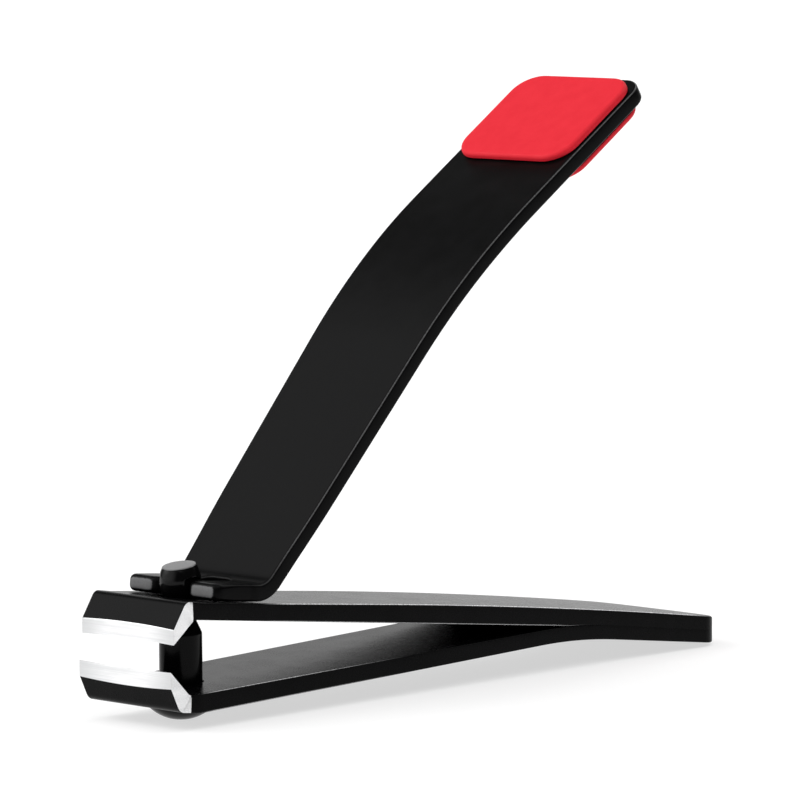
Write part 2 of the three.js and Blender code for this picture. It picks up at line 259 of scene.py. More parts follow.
def drawn_in(points, loop, inset, sharp):
    """The plan with its rounded boundary moved inward by `inset`, one length for each point,
    and the points behind it moved less and less."""
    rounded = [(a, b) for a, b in loop if not (sharp[a] and sharp[b])]
    a = np.array([points[i] for i, _ in rounded])
    b = np.array([points[j] for _, j in rounded])
    foot, gap = nearest_on(points, a, b)
    inward = np.zeros_like(points)
    for i, j in rounded:
        d = points[j] - points[i]
        normal = np.array([-d[1], d[0]]) / np.linalg.norm(d)
        inward[i] += normal
        inward[j] += normal
    on_edge = np.linalg.norm(inward, axis=1) > 0
    inward[~on_edge] = (points - foot)[~on_edge]
    # a point this close to the boundary goes the way its nearest boundary point goes
    rim = np.where(on_edge)[0]
    for k in np.where(~on_edge & (gap < NEAR_RIM))[0]:
        inward[k] = inward[rim[np.argmin(np.linalg.norm(points[rim] - points[k], axis=1))]]
    length = np.linalg.norm(inward, axis=1)
    inward = inward / np.maximum(length, 1e-9)[:, None]
    gap = np.where(on_edge, 0, gap)
    return points + inward * (inset * np.clip(1 - gap / ROUNDING_REACH, 0, 1))[:, None]


# ---------------------------------------------------------------- meshes

def make_mesh(name, xyz, faces, edge):
    """A mesh with its "edge" attribute, which is 1 along the crest of a rounded edge."""
    mesh = bpy.data.meshes.new(name)
    mesh.from_pydata([tuple(p * MM) for p in xyz], [], faces)
    layer = mesh.attributes.new("edge", "FLOAT", "POINT")
    layer.data.foreach_set("value", np.array(edge))
    bm = bmesh.new()
    bm.from_mesh(mesh)
    bmesh.ops.remove_doubles(bm, verts=bm.verts, dist=1e-7)
    bmesh.ops.recalc_face_normals(bm, faces=bm.faces)
    bm.to_mesh(mesh)
    bm.free()
    obj = bpy.data.objects.new(name, mesh)
    scene.collection.objects.link(obj)
    return obj


def make_plate(name, points, quads, thickness, place, top_round, bottom_round, sharp=None,
               arc_steps=5):
    """A plate of quads with rounded edges. place(u, y, h) carries flat points into space.
    The roundings are one radius, or one for each point, and sharp points keep a square edge."""
    points = np.array(points, float)
    count = len(points)
    top_round = np.broadcast_to(np.asarray(top_round, float), count)
    bottom_round = np.broadcast_to(np.asarray(bottom_round, float), count)
    sharp = np.zeros(count, bool) if sharp is None else np.array(sharp, bool)
    loop = boundary(quads)
    on_loop = sorted({i for e in loop for i in e})
    top = drawn_in(points, loop, top_round, sharp)
    bottom = drawn_in(points, loop, bottom_round, sharp)
    # the light metallic line on each edge's crest, partly rubbed-through coating and partly painted
    # highlight: full on rounded outer edges, none on sharp ones, and on inner edges as strong as their
    # rounding allows
    top_wear_and_highlight = np.where(sharp, 0.0, 1.0)
    bottom_wear_and_highlight = top_wear_and_highlight * np.interp(bottom_round, [NO_WEAR_HIGHLIGHT_ROUNDING, FULL_WEAR_HIGHLIGHT_ROUNDING],
                                        [0, 1])
    turns = [math.pi / 2 * k / arc_steps for k in range(1, arc_steps + 1)]
    levels = [(top, t, thickness - top_round * (1 - math.cos(t)), top_wear_and_highlight) for t in turns]
    levels += [(bottom, t, bottom_round * (1 - math.cos(t)), bottom_wear_and_highlight)
               for t in reversed(turns)]
    flat = [(*p, thickness) for p in top] + [(*p, 0.0) for p in bottom]
    edge = [0.0] * (2 * count)
    rows = [{i: i for i in on_loop}]
    for sheet, t, height, level_wear_and_highlight in levels:
        row = {}
        for i in on_loop:
            row[i] = len(flat)
            p = points[i] + (sheet[i] - points[i]) * (1 - math.sin(t))
            flat.append((*p, height[i]))
            edge.append(math.sin(2 * t) * level_wear_and_highlight[i])
        rows.append(row)
    rows.append({i: count + i for i in on_loop})
    flat = np.array(flat)
    faces = [tuple(q) for q in quads]
    faces += [tuple(count + i for i in reversed(q)) for q in quads]
    for upper, lower in zip(rows[:-1], rows[1:]):
        for a, b in loop:
            faces.append((upper[b], upper[a], lower[a], lower[b]))
    xyz = place(flat[:, 0], flat[:, 1], flat[:, 2])
    return make_mesh(name, xyz, faces, edge)


def smooth(obj, angle):
    """Smooth shading that keeps edges sharper than the angle."""
    mesh = obj.data
    bm = bmesh.new()
    bm.from_mesh(mesh)
    limit = math.radians(angle)
    for face in bm.faces:
        face.smooth = True
    for e in bm.edges:
        e.smooth = len(e.link_faces) == 2 and e.calc_face_angle(0) < limit
    bm.to_mesh(mesh)
    bm.free()


def keep_rest(obj):
    """Stores each point's place at rest in millimetres, which the materials read."""
    mesh = obj.data
    co = np.zeros(len(mesh.vertices) * 3, np.float32)
    mesh.vertices.foreach_get("co", co)
    layer = mesh.attributes.new("rest", "FLOAT_VECTOR", "POINT")
    layer.data.foreach_set("vector", co / MM)


def cylinder(x, radius, low, high, steps=64):
    """An upright cylinder to cut with."""
    bm = bmesh.new()
    rings = []
    for z in (low, high):
        rings.append([bm.verts.new(((x + radius * math.cos(t)) * MM, radius * math.sin(t) * MM,
                                    z * MM))
                      for t in (2 * math.pi * i / steps for i in range(steps))])
    for i in range(steps):
        j = (i + 1) % steps
        bm.faces.new((rings[0][i], rings[0][j], rings[1][j], rings[1][i]))
    bm.faces.new(list(reversed(rings[0])))
    bm.faces.new(rings[1])
    mesh = bpy.data.meshes.new("cutter")
    bm.to_mesh(mesh)
    bm.free()
    obj = bpy.data.objects.new("cutter", mesh)
    scene.collection.objects.link(obj)
    return obj


def bored(obj, x, radius, low, high):
    """Cuts a round upright hole. The cut loses the "edge" attribute, so it is carried over from
    the points that stay where they were."""
    cutter = cylinder(x, radius, low, high)
    cut = obj.modifiers.new("hole", "BOOLEAN")
    cut.operation, cut.solver, cut.object = "DIFFERENCE", "EXACT", cutter
    bpy.context.view_layer.update()
    done = bpy.data.meshes.new_from_object(
        obj.evaluated_get(bpy.context.evaluated_depsgraph_get()))
    values = [d.value for d in obj.data.attributes["edge"].data]
    tree = KDTree(len(obj.data.vertices))
    for v in obj.data.vertices:
        tree.insert(v.co, v.index)
    tree.balance()
    found = [tree.find(v.co) for v in done.vertices]
    for old in [a for a in done.attributes if a.name == "edge"]:
        done.attributes.remove(old)
    layer = done.attributes.new("edge", "FLOAT", "POINT")
    layer.data.foreach_set("value", [values[i] if gap < SAME_PLACE else 0.0
                                     for _, i, gap in found])
    obj.modifiers.clear()
    obj.data = done
    bpy.data.objects.remove(cutter)


# ---------------------------------------------------------------- the two leaves

FRONT_ROW = 0.15                        # the first two rows of quads behind a cutting edge
LIP_ROWS, LIP_BEND_STEPS = 6, 8         # rows from there to the bend, and round it
LIP_ROWS_X = (-3.6, -3.2, -2.8)         # where the lip has run into the leaf's flat face


def outer_lip(edge_x, edge_z, bend, face):
    """The cutting edge's point on the outer face, and the arc of the lip's bend."""
    x, z, radius = bend
    edge, after = (edge_x, edge_z), (BEND_END_X, float(face(BEND_END_X)))
    return edge, arc_at(edge, (x, z), after, radius, LIP_BEND_STEPS)


def inner_lip(edge_x, edge_z, root, face):
    """The same on the side that faces the other leaf."""
    x, radius = root
    edge, after = (edge_x, edge_z), (0, float(face(0)))
    return edge, arc_at(edge, (x, float(face(x))), after, radius, LIP_BEND_STEPS)


def lip_path(lip, face):
    """The lip's face from its cutting edge back to the last of LIP_ROWS_X."""
    edge_point, arc = np.array(lip[0]), lip[1]
    slope = (arc[0] - edge_point) / (arc[0][0] - edge_point[0])
    near = [edge_point + slope * FRONT_ROW * k for k in range(3)]
    back = [np.array([x, float(face(x))]) for x in LIP_ROWS_X]
    return near + between(near[-1], arc[0], LIP_ROWS) + list(arc) + back


def leaf(name, front_x, ground_end, outer, inner, lip_outer, lip_inner):
    """outer(x) and inner(x) are the faces behind the lip, and each lip is (edge point, arc).
    The rows of quads draw together towards the tail."""
    rows = np.concatenate([np.arange(-2.2, 72, 0.9), np.arange(72.4, TAIL_X - TAIL_ROUNDING, 0.7),
                           TAIL_X - TAIL_ROUNDING + TAIL_ROUNDING * quarter(9)])
    o, i = lip_path(lip_outer, outer), lip_path(lip_inner, inner)
    # u runs along the strip: it is x at the front edge and from the end of the lip to the tail
    u = np.concatenate([[front_x, front_x + FRONT_ROW],
                        np.linspace(front_x + 2 * FRONT_ROW, LIP_ROWS_X[-1], len(o) - 2), rows])
    o = np.concatenate([o, np.stack([rows, outer(rows)], 1)])
    i = np.concatenate([i, np.stack([rows, inner(rows)], 1)])
    widening = (TAIL_HALF_WIDTH - JAW_HALF_WIDTH) / (TAIL_X - TAIL_CROWN - ground_end)
    half = JAW_HALF_WIDTH + np.maximum(0, u - ground_end) * widening
    side = 1 - TAIL_ROUNDING / TAIL_HALF_WIDTH * (1 - quarter(8))
    across = mirrored(np.concatenate([np.linspace(0, side[0], 8)[:-1], side]))
    points, sharp = [], []
    for k, (station, w) in enumerate(zip(u, half)):
        for t in across:
            p = (station, t * w)
            if k < 2:
                hollow = EDGE_HOLLOW * max(0, 1 - (t * w / GROUND_HALF_WIDTH) ** 2)
                p = (station + hollow * (1 - k / 2), t * w)
            if station > TAIL_X - TAIL_ROUNDING:
                centre = (TAIL_X - TAIL_ROUNDING, math.copysign(w - TAIL_ROUNDING, t))
                p = round_corner(p, centre, TAIL_ROUNDING, (1, math.copysign(1, t)))
            crown = (station - CROWN_START) / (TAIL_X - CROWN_START)
            points.append((p[0] - TAIL_CROWN * t * t * np.clip(crown, 0, 1), p[1]))
            sharp.append(k == 0)

    def place(a, y, h):
        share = h / LEAF_THICKNESS
        ox, oz = np.interp(a, u, o[:, 0]), np.interp(a, u, o[:, 1])
        ix, iz = np.interp(a, u, i[:, 0]), np.interp(a, u, i[:, 1])
        x = ix + (ox - ix) * share
        z = iz + (oz - iz) * share
        flat_end = ground_end + GROUND_RUNOUT / 2
        ground = np.clip((flat_end - x) / GROUND_RUNOUT, 0, 1)
        limit = GROUND_HALF_WIDTH + (1 - ground) * GROUND_DEPTH
        y = np.where(x < flat_end, np.clip(y, -limit, limit), y)
        return np.stack([x, y, z], 1)

    along = [p[0] for p in points]
    outer_round = np.interp(along, TAIL_EDGE_SPAN, [EDGE_ROUNDING, TAIL_EDGE_ROUNDING])
    inner_round = np.interp(along, SEAM_EDGE_SPAN, [INNER_ROUNDING, SEAM_ROUNDING])
    return make_plate(name, points, grid_quads(len(u), len(across)), LEAF_THICKNESS, place,
                      outer_round, inner_round, sharp)


upper_jaw = leaf("upper_leaf", UPPER_EDGE_X, UPPER_GROUND_END, upper_top, upper_under,
                 outer_lip(UPPER_EDGE_X, UPPER_EDGE_HIGH, UPPER_BEND, upper_top),
                 inner_lip(UPPER_EDGE_X, UPPER_EDGE_LOW, UPPER_ROOT, upper_under))
lower_jaw = leaf("lower_leaf", LOWER_EDGE_X, LOWER_GROUND_END, lower_bottom, lower_top,
                 outer_lip(LOWER_EDGE_X, LOWER_EDGE_LOW, LOWER_BEND, lower_bottom),
                 inner_lip(LOWER_EDGE_X, LOWER_EDGE_HIGH, LOWER_ROOT, lower_top))
# each cutter reaches well past both faces
bored(upper_jaw, *UPPER_HOLE, 6, 17)
bored(lower_jaw, *LOWER_HOLE, -3, 8)


# ---------------------------------------------------------------- the lever

def fork_under(x):
    """Height of the fork's underside, which lies along the upper leaf."""
    return UPPER_TOP_AT_POST + LEVER_LIFT - UPPER_FALL * x


def along_arm(start, arm):
    angle, length = arm
    return start + length * np.array([math.cos(angle), math.sin(angle)])


def lever_path():
    """Back face of the strip as (points, left normals, distance along), finely spaced."""
    tip = np.array([PRONG_TIP_X, fork_under(PRONG_TIP_X)])
    heel = np.array([HEEL_X, fork_under(HEEL_X)])
    bend = along_arm(heel, LOWER_ARM)
    end = along_arm(bend, UPPER_ARM)
    first = arc_at(tip, heel, bend, HEEL_RADIUS, 14)
    second = arc_at(heel, bend, end, ARM_BEND_RADIUS, 20)
    path = np.array([tip, *between(tip, first[0], 12), *first,
                     *between(first[-1], second[0], 30), *second,
                     *between(second[-1], end, 24), end])
    step = np.diff(path, axis=0)
    step /= np.linalg.norm(step, axis=1)[:, None]
    direction = np.concatenate([step[:1], (step[:-1] + step[1:]), step[-1:]])
    direction /= np.linalg.norm(direction, axis=1)[:, None]
    normal = np.stack([-direction[:, 1], direction[:, 0]], 1)
    along = np.concatenate([[0], np.cumsum(np.linalg.norm(np.diff(path, axis=0), axis=1))])
    return path, normal, along


PATH, NORMAL, ALONG = lever_path()


def on_lever(u, y, h):
    """Flat strip to space. h is measured from the back face."""
    p = np.stack([np.interp(u, ALONG, PATH[:, k]) for k in (0, 1)], 1)
    n = np.stack([np.interp(u, ALONG, NORMAL[:, k]) for k in (0, 1)], 1)
    n /= np.linalg.norm(n, axis=1)[:, None]
    q = p + n * np.asarray(h)[:, None]
    return np.stack([q[:, 0], y, q[:, 1]], 1)


def lever_half_width(u):
    """Half width from ARM_WIDTHS, with its corners averaged out."""
    x, z = np.interp(u, ALONG, PATH[:, 0]), np.interp(u, ALONG, PATH[:, 1])
    heights, halves = zip(*ARM_WIDTHS)
    fine = np.linspace(heights[0], heights[-1], 200)
    window = 13
    padded = np.pad(np.interp(fine, heights, halves), window // 2, mode="edge")
    wide = np.convolve(padded, np.ones(window) / window, "valid")
    arm = np.maximum(PRONG_HALF_WIDTH, np.interp(z, fine, wide))
    return np.where(x < PRONG_END_X, PRONG_HALF_WIDTH, arm)


def lever_grid(slot_end):
    """Stations along the strip and lines across it, close together at the rounded corners and
    0.3 to 1.1 apart elsewhere."""
    length = ALONG[-1]
    arc = quarter(6)
    us = np.concatenate([
        SLOT_MOUTH_ROUNDING * (1 - arc[::-1]), np.arange(1.9, slot_end - 1.2, 0.5),
        slot_end - SLOT_END_ROUNDING * (1 - arc), slot_end + np.arange(0.45, 6, 0.45),
        np.arange(slot_end + 6.6, length - 3.1, 1.1),
        length - LEVER_TIP_ROUNDING + LEVER_TIP_ROUNDING * quarter(10)])
    us = np.unique(np.round(us, 4))
    us[np.argmin(abs(us - slot_end))] = slot_end
    lines = np.concatenate([
        [0, 0.45, 0.9], SLOT_HALF_WIDTH - SLOT_END_ROUNDING * (1 - arc[1:]),
        SLOT_HALF_WIDTH + SLOT_MOUTH_ROUNDING * (1 - arc[::-1][1:]),
        [3.8, 4.25, 4.65, 5.0, 5.3, 5.6], PRONG_HALF_WIDTH - PRONG_ROUNDING * (1 - arc)])
    return us, mirrored(np.unique(np.round(lines, 4)))


def lever_corners(p, s, w):
    """Rounds the corners of the fork and of the far end, on side s of the strip. Its half width
    there is w."""
    length = ALONG[-1]
    if p[0] < SLOT_MOUTH_ROUNDING:
        mouth = (SLOT_MOUTH_ROUNDING, s * (SLOT_HALF_WIDTH + SLOT_MOUTH_ROUNDING))
        p = round_corner(p, mouth, SLOT_MOUTH_ROUNDING, (-1, -s))
        prong = (PRONG_ROUNDING, s * (PRONG_HALF_WIDTH - PRONG_ROUNDING))
        p = round_corner(p, prong, PRONG_ROUNDING, (-1, s))
    if p[0] > length - LEVER_TIP_ROUNDING:
        tip = (length - LEVER_TIP_ROUNDING, s * (w - LEVER_TIP_ROUNDING))
        p = round_corner(p, tip, LEVER_TIP_ROUNDING, (1, s))
    return p


def lever():
    """The strip with its fork, cut from one grid of quads."""
    middle_x = PATH[:, 0] + NORMAL[:, 0] * LEVER_THICKNESS / 2
    # the slot ends within the path's first 40 points
    slot_end = float(np.interp(SLOT_END_X, middle_x[:40], ALONG[:40]))
    us, ys = lever_grid(slot_end)
    slot_side = float(ys[np.argmin(abs(ys - SLOT_HALF_WIDTH))])
    mouth = SLOT_HALF_WIDTH + SLOT_MOUTH_ROUNDING
    keep, points = {}, []
    for r, u in enumerate(us):
        w = float(lever_half_width(u))
        for c, y in enumerate(ys):
            if abs(y) < slot_side - TINY and u < slot_end - TINY:
                continue
            grow = np.clip((abs(y) - mouth) / (PRONG_HALF_WIDTH - mouth), 0, 1)
            p = (u, y + math.copysign(grow * (w - PRONG_HALF_WIDTH), y))
            keep[(r, c)] = len(points)
            points.append(lever_corners(p, math.copysign(1, y), w))
    # the slot's blind end is milled round
    centre = (slot_end - SLOT_END_ROUNDING, SLOT_HALF_WIDTH - SLOT_END_ROUNDING)
    for (r, c), k in keep.items():
        on_side = abs(abs(ys[c]) - slot_side) < TINY and us[r] <= slot_end + TINY
        on_end = abs(us[r] - slot_end) < TINY and abs(ys[c]) <= slot_side + TINY
        if on_side or on_end:
            s = math.copysign(1, ys[c]) if ys[c] else 1
            p = round_corner((points[k][0], abs(points[k][1])), centre, SLOT_END_ROUNDING, (1, 1))
            points[k] = (p[0], s * p[1])
    quads = []
    for r in range(len(us) - 1):
        for c in range(len(ys) - 1):
            corners = [(r, c), (r + 1, c), (r + 1, c + 1), (r, c + 1)]
            in_slot = us[r + 1] <= slot_end + TINY and abs(ys[c] + ys[c + 1]) / 2 < slot_side
            if not in_slot and all(k in keep for k in corners):
                quads.append([keep[k] for k in corners])
    rounding = np.interp([p[0] for p in points], PRONG_EDGE_SPAN,
                         [PRONG_EDGE_ROUNDING, LEVER_ROUNDING])
    return make_plate("lever_strip", points, quads, LEVER_THICKNESS, on_lever, rounding, rounding)


lever_strip = lever()


# ---------------------------------------------------------------- the pivot post

def head_radius(z):
    """The barrel head's radius, largest at HEAD_WIDE."""
    end, radius = (HEAD_TOP, HEAD_END_RADIUS)
    if z < HEAD_WIDE:
        end, radius = (HEAD_LOW, HEAD_FOOT_RADIUS)
    return HEAD_RADIUS - (HEAD_RADIUS - radius) * ((z - HEAD_WIDE) / (end - HEAD_WIDE)) ** 2


def post_profile():
    """(radius, height) from the foot of the dome to just above the head's widest part."""
    def ball(r):
        base = math.sqrt(DOME_BALL_RADIUS ** 2 - DOME_FLAT_RADIUS ** 2)
        return base - math.sqrt(DOME_BALL_RADIUS ** 2 - r ** 2)

    profile = [(0.0, 0.0), (DOME_FLAT_RADIUS / 2, 0.0), (DOME_FLAT_RADIUS, 0.0)]
    profile += [(r, ball(r)) for r in np.linspace(DOME_FLAT_RADIUS + 0.15, DOME_RADIUS - 0.13, 16)]
    # the dome's rolled rim, its upper face and the fillet to the shank
    rim = ball(DOME_RADIUS)
    profile += [(DOME_RADIUS - 0.04, rim - 0.04), (DOME_RADIUS, rim + 0.03),
                (DOME_RADIUS - 0.005, rim + 0.08), (DOME_RADIUS - 0.05, DOME_TOP - 0.02)]
    profile += [(r, DOME_TOP) for r in (DOME_RADIUS - 0.13, 3.0, POST_RADIUS + 0.16)]
    profile += [(POST_RADIUS + 0.06, DOME_TOP + 0.04), (POST_RADIUS, DOME_TOP + 0.16)]
    profile += [(POST_RADIUS, z) for z in np.linspace(2.2, SHOULDER_LOW - 0.2, 12)]
    profile += [(POST_RADIUS, SHOULDER_LOW - 0.1), (POST_RADIUS - 0.015, SHOULDER_LOW),
                (POST_RADIUS - 0.05, SHOULDER_LOW + 0.1)]
    for t in np.linspace(0.12, 0.92, 6):
        profile.append((POST_RADIUS + (NECK_RADIUS - POST_RADIUS) * t,
                        SHOULDER_LOW + (SHOULDER_HIGH - SHOULDER_LOW) * t))
    profile.append((NECK_RADIUS + 0.02, SHOULDER_HIGH - 0.04))
    profile += [(NECK_RADIUS, z) for z in (SHOULDER_HIGH + 0.08, 11.2, 11.8, 12.4, 12.7)]
    profile += [(NECK_RADIUS + 0.02, HEAD_LOW - 0.11), (NECK_RADIUS + 0.06, HEAD_LOW - 0.06)]
    barrel = [*np.linspace(HEAD_LOW, 14.8, 10), *np.linspace(14.86, 15.2, 7)]
    return profile + [(head_radius(z), z) for z in barrel]


def fork_flat(y, z):
    """Keeps a point of the head inside the two flats milled for the fork, which run out above."""
    if not FORK_FLAT_LOW < z < FORK_FLAT_HIGH:
        return y
    runout = max(0.0, z - RUNOUT_LOW) / RUNOUT_HEIGHT
    limit = FORK_FLAT_HALF_WIDTH + RUNOUT_DEPTH * runout ** 2
    return max(-limit, min(limit, y))


def slant_top(angle):
    """Height of the head's slanted end at its rim, found by repetition."""
    top = HEAD_TOP
    for _ in range(4):
        top = HEAD_TOP + math.tan(HEAD_TILT) * head_radius(top) * math.cos(angle)
    return top


def post():
    """Turned post: domed head below, shank, tapered shoulder, neck and slanted barrel head."""
    steps, side_rings, arc_rings, end_rings = 120, 12, 5, 3
    angles = [2 * math.pi * i / steps for i in range(steps)]
    profile = post_profile()
    foot = profile[-1][1]
    verts = [(r * math.cos(a), fork_flat(r * math.sin(a), z), z) for r, z in profile
             for a in angles]
    edge = [0.0] * len(verts)
    for k in range(1, side_rings + 1):
        for a in angles:
            z = foot + (slant_top(a) - HEAD_ROUNDING - foot) * k / side_rings
            verts.append((head_radius(z) * math.cos(a), head_radius(z) * math.sin(a), z))
            edge.append(0.0)
    for k in range(1, arc_rings + 1):
        t = math.pi / 2 * k / arc_rings
        for a in angles:
            below = slant_top(a) - HEAD_ROUNDING
            r = head_radius(below) - HEAD_ROUNDING * (1 - math.cos(t))
            verts.append((r * math.cos(a), r * math.sin(a), below + HEAD_ROUNDING * math.sin(t)))
            edge.append(math.sin(2 * t))
    for k in range(1, end_rings + 1):
        for a in angles:
            r = (head_radius(slant_top(a) - HEAD_ROUNDING) - HEAD_ROUNDING) * (1 - k / end_rings)
            z = HEAD_TOP + math.tan(HEAD_TILT) * r * math.cos(a)
            verts.append((r * math.cos(a), r * math.sin(a), z))
            edge.append(0.0)
    faces = []
    for k in range(len(verts) // steps - 1):
        for i in range(steps):
            j = (i + 1) % steps
            faces.append((k * steps + i, k * steps + j, (k + 1) * steps + j, (k + 1) * steps + i))
    obj = make_mesh("post_turned", np.array(verts), faces, edge)
    bm = bmesh.new()
    bm.from_mesh(obj.data)
    bmesh.ops.dissolve_degenerate(bm, dist=1e-8, edges=bm.edges)
    bm.to_mesh(obj.data)
    bm.free()
    return obj


post_turned = post()


# ---------------------------------------------------------------- pads and adhesive

def tip_plate(name, face, inset, low, thickness, top_round, bottom_round, crown):
    """A rounded plate lying on the far end of the arm. face is 1 on the front, -1 on the back."""
    near, far = -PAD_SETBACK - inset, -PAD_SETBACK - PAD_LENGTH + inset
    half, radius = PAD_HALF_WIDTH - inset, PAD_ROUNDING - inset
    arc = quarter(9)
    us = np.concatenate([far + radius * (1 - arc[::-1]),
                         np.linspace(far + radius, near - radius, 12)[1:-1],
                         near - radius + radius * arc])
    ys = mirrored(np.concatenate([np.linspace(0, half - radius, 9)[:-1],
                                  half - radius + radius * arc]))
    points = []
    for u in us:
        for y in ys:
            s = math.copysign(1, y)
            p = round_corner((u, y), (far + radius, s * (half - radius)), radius, (-1, s))
            p = round_corner(p, (near - radius, s * (half - radius)), radius, (1, s))
            points.append(p)
    direction = along_arm(0, (UPPER_ARM[0], 1))
    normal = np.array([-direction[1], direction[0]])
    origin = PATH[-1] + (normal * LEVER_THICKNESS if face > 0 else 0)
    middle = (near + far) / 2

    def place(u, y, h):
        share = h / thickness
        away = ((u - middle) / (PAD_LENGTH / 2)) ** 2 * 0.5 + (y / PAD_HALF_WIDTH) ** 2 * 0.5
        height = face * (low + h - crown * share * np.clip(away, 0, 1))
        q = origin + u[:, None] * direction + height[:, None] * normal
        return np.stack([q[:, 0], y, q[:, 1]], 1)

    return make_plate(name, points, grid_quads(len(us), len(ys)), thickness, place, top_round,
                      bottom_round, arc_steps=7)


# what the film leaves free below and above it, and the pad above the film
FILM_FOOT, FILM_HEAD, PAD_FOOT = 0.004, 0.002, 0.005
glue_top = GLUE_GAP + GLUE_THICKNESS
pieces = {}
for side, face in (("top", 1), ("under", -1)):
    pieces["pad_" + side] = tip_plate("thumb_pad_" + side, face, 0, glue_top + PAD_FOOT,
                                      PAD_THICKNESS + GLUE_GAP - PAD_FOOT, PAD_TOP_ROUNDING,
                                      PAD_FOOT_ROUNDING, PAD_CROWN)
    pieces["adhesive_" + side] = tip_plate("film_" + side, face, GLUE_INSET, FILM_FOOT,
                                           glue_top - FILM_FOOT - FILM_HEAD, FILM_ROUNDING,
                                           FILM_ROUNDING, 0.0)

for obj, angle in ((upper_jaw, 30), (lower_jaw, 30), (lever_strip, 40), (post_turned, 28),
                   *((p, 60) for p in pieces.values())):
    smooth(obj, angle)
    keep_rest(obj)


# ---------------------------------------------------------------- nodes

GRAIN_DEPTH = 0.00002                   # metres, of every surface's tooth


def new_material(name):
    mat = bpy.data.materials.new(name)
    mat.use_nodes = True
    tree = mat.node_tree
    shader = tree.nodes["Principled BSDF"]
    return mat, tree, shader


def node(tree, kind, values=(), **settings):
    made = tree.nodes.new(kind)
    for key, value in settings.items():
        setattr(made, key, value)
    for key, value in dict(values).items():
        made.inputs[key].default_value = value
    return made


def rest_place(tree, scale=(1, 1, 1), rotation=(0, 0, 0)):
    """Place at rest, in millimetres, turned and scaled."""
    source = node(tree, "ShaderNodeAttribute", attribute_name="rest")
    mapping = node(tree, "ShaderNodeMapping", {"Scale": scale, "Rotation": rotation})
    tree.links.new(source.outputs["Vector"], mapping.inputs["Vector"])
    return mapping.outputs["Vector"]


def edge_crest(tree):
    return node(tree, "ShaderNodeAttribute", attribute_name="edge").outputs["Fac"]


def noise(tree, vector, scale, detail=2.0, roughness=0.5):
    made = node(tree, "ShaderNodeTexNoise", {"Scale": scale, "Detail": detail,
                                             "Roughness": roughness})
    tree.links.new(vector, made.inputs["Vector"])
    return made.outputs["Fac"]


def split(tree, vector):
    made = node(tree, "ShaderNodeSeparateXYZ")
    tree.links.new(vector, made.inputs[0])
    return made.outputs


def toward(tree, vector, direction):
    """How far the vector reaches in a direction."""
    made = node(tree, "ShaderNodeVectorMath", operation="DOT_PRODUCT")
    tree.links.new(vector, made.inputs[0])
    made.inputs[1].default_value = direction
    return made.outputs["Value"]


def math_node(tree, operation, a, b=None, c=None, clamp=False):
    made = node(tree, "ShaderNodeMath", operation=operation, use_clamp=clamp)
    for slot, value in enumerate((a, b, c)):
        if value is None:
            continue
        if isinstance(value, (int, float)):
            made.inputs[slot].default_value = value
        else:
            tree.links.new(value, made.inputs[slot])
    return made.outputs[0]


def times(tree, a, b):
    return math_node(tree, "MULTIPLY", a, b)


def span(tree, value, low, high, to_low=0.0, to_high=1.0, kind="LINEAR"):
    made = node(tree, "ShaderNodeMapRange", interpolation_type=kind)
    for key, number in (("From Min", low), ("From Max", high), ("To Min", to_low),
                        ("To Max", to_high)):
        made.inputs[key].default_value = number
    tree.links.new(value, made.inputs["Value"])
    return made.outputs["Result"]


def blended(tree, a, b, share_of_b):
    """Weighted sum of two patterns."""
    return math_node(tree, "ADD", times(tree, a, 1 - share_of_b), times(tree, b, share_of_b))


def mix_colour(tree, share, a, b):
    made = node(tree, "ShaderNodeMix", data_type="RGBA")
    for key, value in ((6, a), (7, b)):
        if isinstance(value, tuple):
            made.inputs[key].default_value = (*value, 1)
        else:
            tree.links.new(value, made.inputs[key])
    tree.links.new(share, made.inputs[0])
    return made.outputs[2]


def mix_number(tree, share, a, b):
    made = node(tree, "ShaderNodeMix", data_type="FLOAT")
    for slot, value in ((0, share), (2, a), (3, b)):
        tree.links.new(value, made.inputs[slot])
    return made.outputs[0]


def bump(tree, height, strength, distance=GRAIN_DEPTH):
    made = node(tree, "ShaderNodeBump", {"Strength": strength, "Distance": distance})
    tree.links.new(height, made.inputs["Height"])
    return made.outputs["Normal"]


def finish(tree, shader, colour, metal, rough, normal):
    for key, value in (("Base Color", colour), ("Metallic", metal), ("Roughness", rough),
                       ("Normal", normal)):
        if value is not None:
            tree.links.new(value, shader.inputs[key])


# ---------------------------------------------------------------- materials

def cut_face(tree, place, fine, colour, rough, outward, distance, grey):
    """Adds a grey sheared end face to a coating; on the prong ends the grey is painted reflection."""
    smudge = math_node(tree, "MULTIPLY_ADD", fine, 0.08, toward(tree, place, outward))
    face = span(tree, smudge, distance - 0.06, distance + 0.03, kind="SMOOTHSTEP")
    # the end face's grey with a faint mottle; on the prongs it is painted reflection of the studio light
    darker = tuple(0.8 * c for c in grey)
    end_grey = mix_colour(tree, span(tree, fine, 0.3, 0.7), darker, grey)
    return mix_colour(tree, face, colour, end_grey), math_node(tree, "MULTIPLY_ADD", face, 0.12,
                                                              rough)


